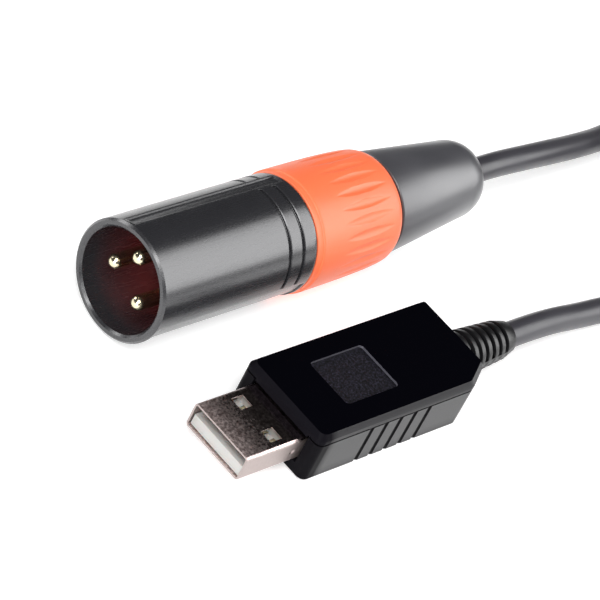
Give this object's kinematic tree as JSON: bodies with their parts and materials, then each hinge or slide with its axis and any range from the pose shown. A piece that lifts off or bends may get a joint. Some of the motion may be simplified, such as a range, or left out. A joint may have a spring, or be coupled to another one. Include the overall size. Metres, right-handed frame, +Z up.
{
  "type": "usb to stage lighting interface lead",
  "caption": "Lighting control lead: USB plug with converter electronics in a small black case, round cable coiled and tied, and a male XLR plug with orange screw ring.",
  "frame": {"origin": "middle of the footprint of the two plugs, on the surface that they rest on, without the free cable, its coil and tie", "axes": "+Z up; -X is the way both plugs point, along their own axes; the USB case lies on the -Y side and the round plug on the +Y side"},
  "size_m": [0.1881, 0.0635, 0.0203],
  "materials": {
    "shell_metal": "black plated die-cast zinc, semi-gloss",
    "insert_plastic": "dark maroon glass-filled nylon",
    "gold_plate": "thin gold plate on copper alloy",
    "wire_red": "smooth insulation",
    "wire_white": "smooth insulation",
    "wire_grey": "smooth insulation",
    "chuck_plastic": "moulded acetal",
    "ring_plastic": "orange moulded plastic, satin",
    "boot_rubber": "black moulded elastomer, matt",
    "relief_rubber": "black moulded PVC, satin",
    "cable_jacket": "extruded PVC, satin",
    "case_satin": "black moulded ABS, satin",
    "case_gloss": "black moulded ABS, polished",
    "nickel_plate": "nickel plated sheet",
    "white_plastic": "ivory moulded PBT",
    "board_laminate": "green solder mask",
    "chip_epoxy": "black moulding compound",
    "capacitor_ceramic": "buff ceramic",
    "tie_strap": "black flat tie"
  },
  "bodies": {
    "lead": {"xlr_shell": "shell_metal", "xlr_insert": "insert_plastic", "xlr_pin_1": "gold_plate", "xlr_pin_2": "gold_plate", "xlr_pin_3": "gold_plate", "xlr_wire_1": "wire_red", "xlr_wire_2": "wire_white", "xlr_wire_3": "wire_grey", "cable_chuck": "chuck_plastic", "xlr_cable_end": "cable_jacket", "usb_case_bottom": "case_satin", "usb_case_top": "case_gloss", "usb_plug_shell": "nickel_plate", "usb_plug_insulator": "white_plastic", "usb_contact_1": "gold_plate", "usb_contact_2": "gold_plate", "usb_contact_3": "gold_plate", "usb_contact_4": "gold_plate", "circuit_board": "board_laminate", "usb_serial_chip": "chip_epoxy", "rs485_transceiver_chip": "chip_epoxy", "capacitor_1": "capacitor_ceramic", "capacitor_2": "capacitor_ceramic", "capacitor_3": "capacitor_ceramic", "resistor_1": "chip_epoxy", "resistor_2": "chip_epoxy", "strain_relief": "relief_rubber", "usb_cable_end": "cable_jacket", "usb_wire_1": "wire_red", "usb_wire_2": "wire_white", "usb_wire_3": "wire_grey", "cord_xlr_lead": "cable_jacket", "cord_coil": "cable_jacket", "cord_usb_lead": "cable_jacket", "cable_tie": "tie_strap"},
    "boot": {"boot": "boot_rubber"},
    "ring": {"screw_ring": "ring_plastic"}
  },
  "joints": [
    {"name": "boot_slide", "type": "slide", "parent": "lead", "child": "boot", "axis": [1, 0, 0], "range_m": [0, 0.008]},
    {"name": "ring_turn", "type": "hinge", "parent": "boot", "child": "ring", "pos_m": [0, 0.01355, 0.0098], "axis": [1, 0, 0], "range_deg": [0, 1440]}
  ],
  "couplings": [
    {"joint": "boot_slide", "follows": "ring_turn", "m_per_rad": 0.00031831}
  ]
}
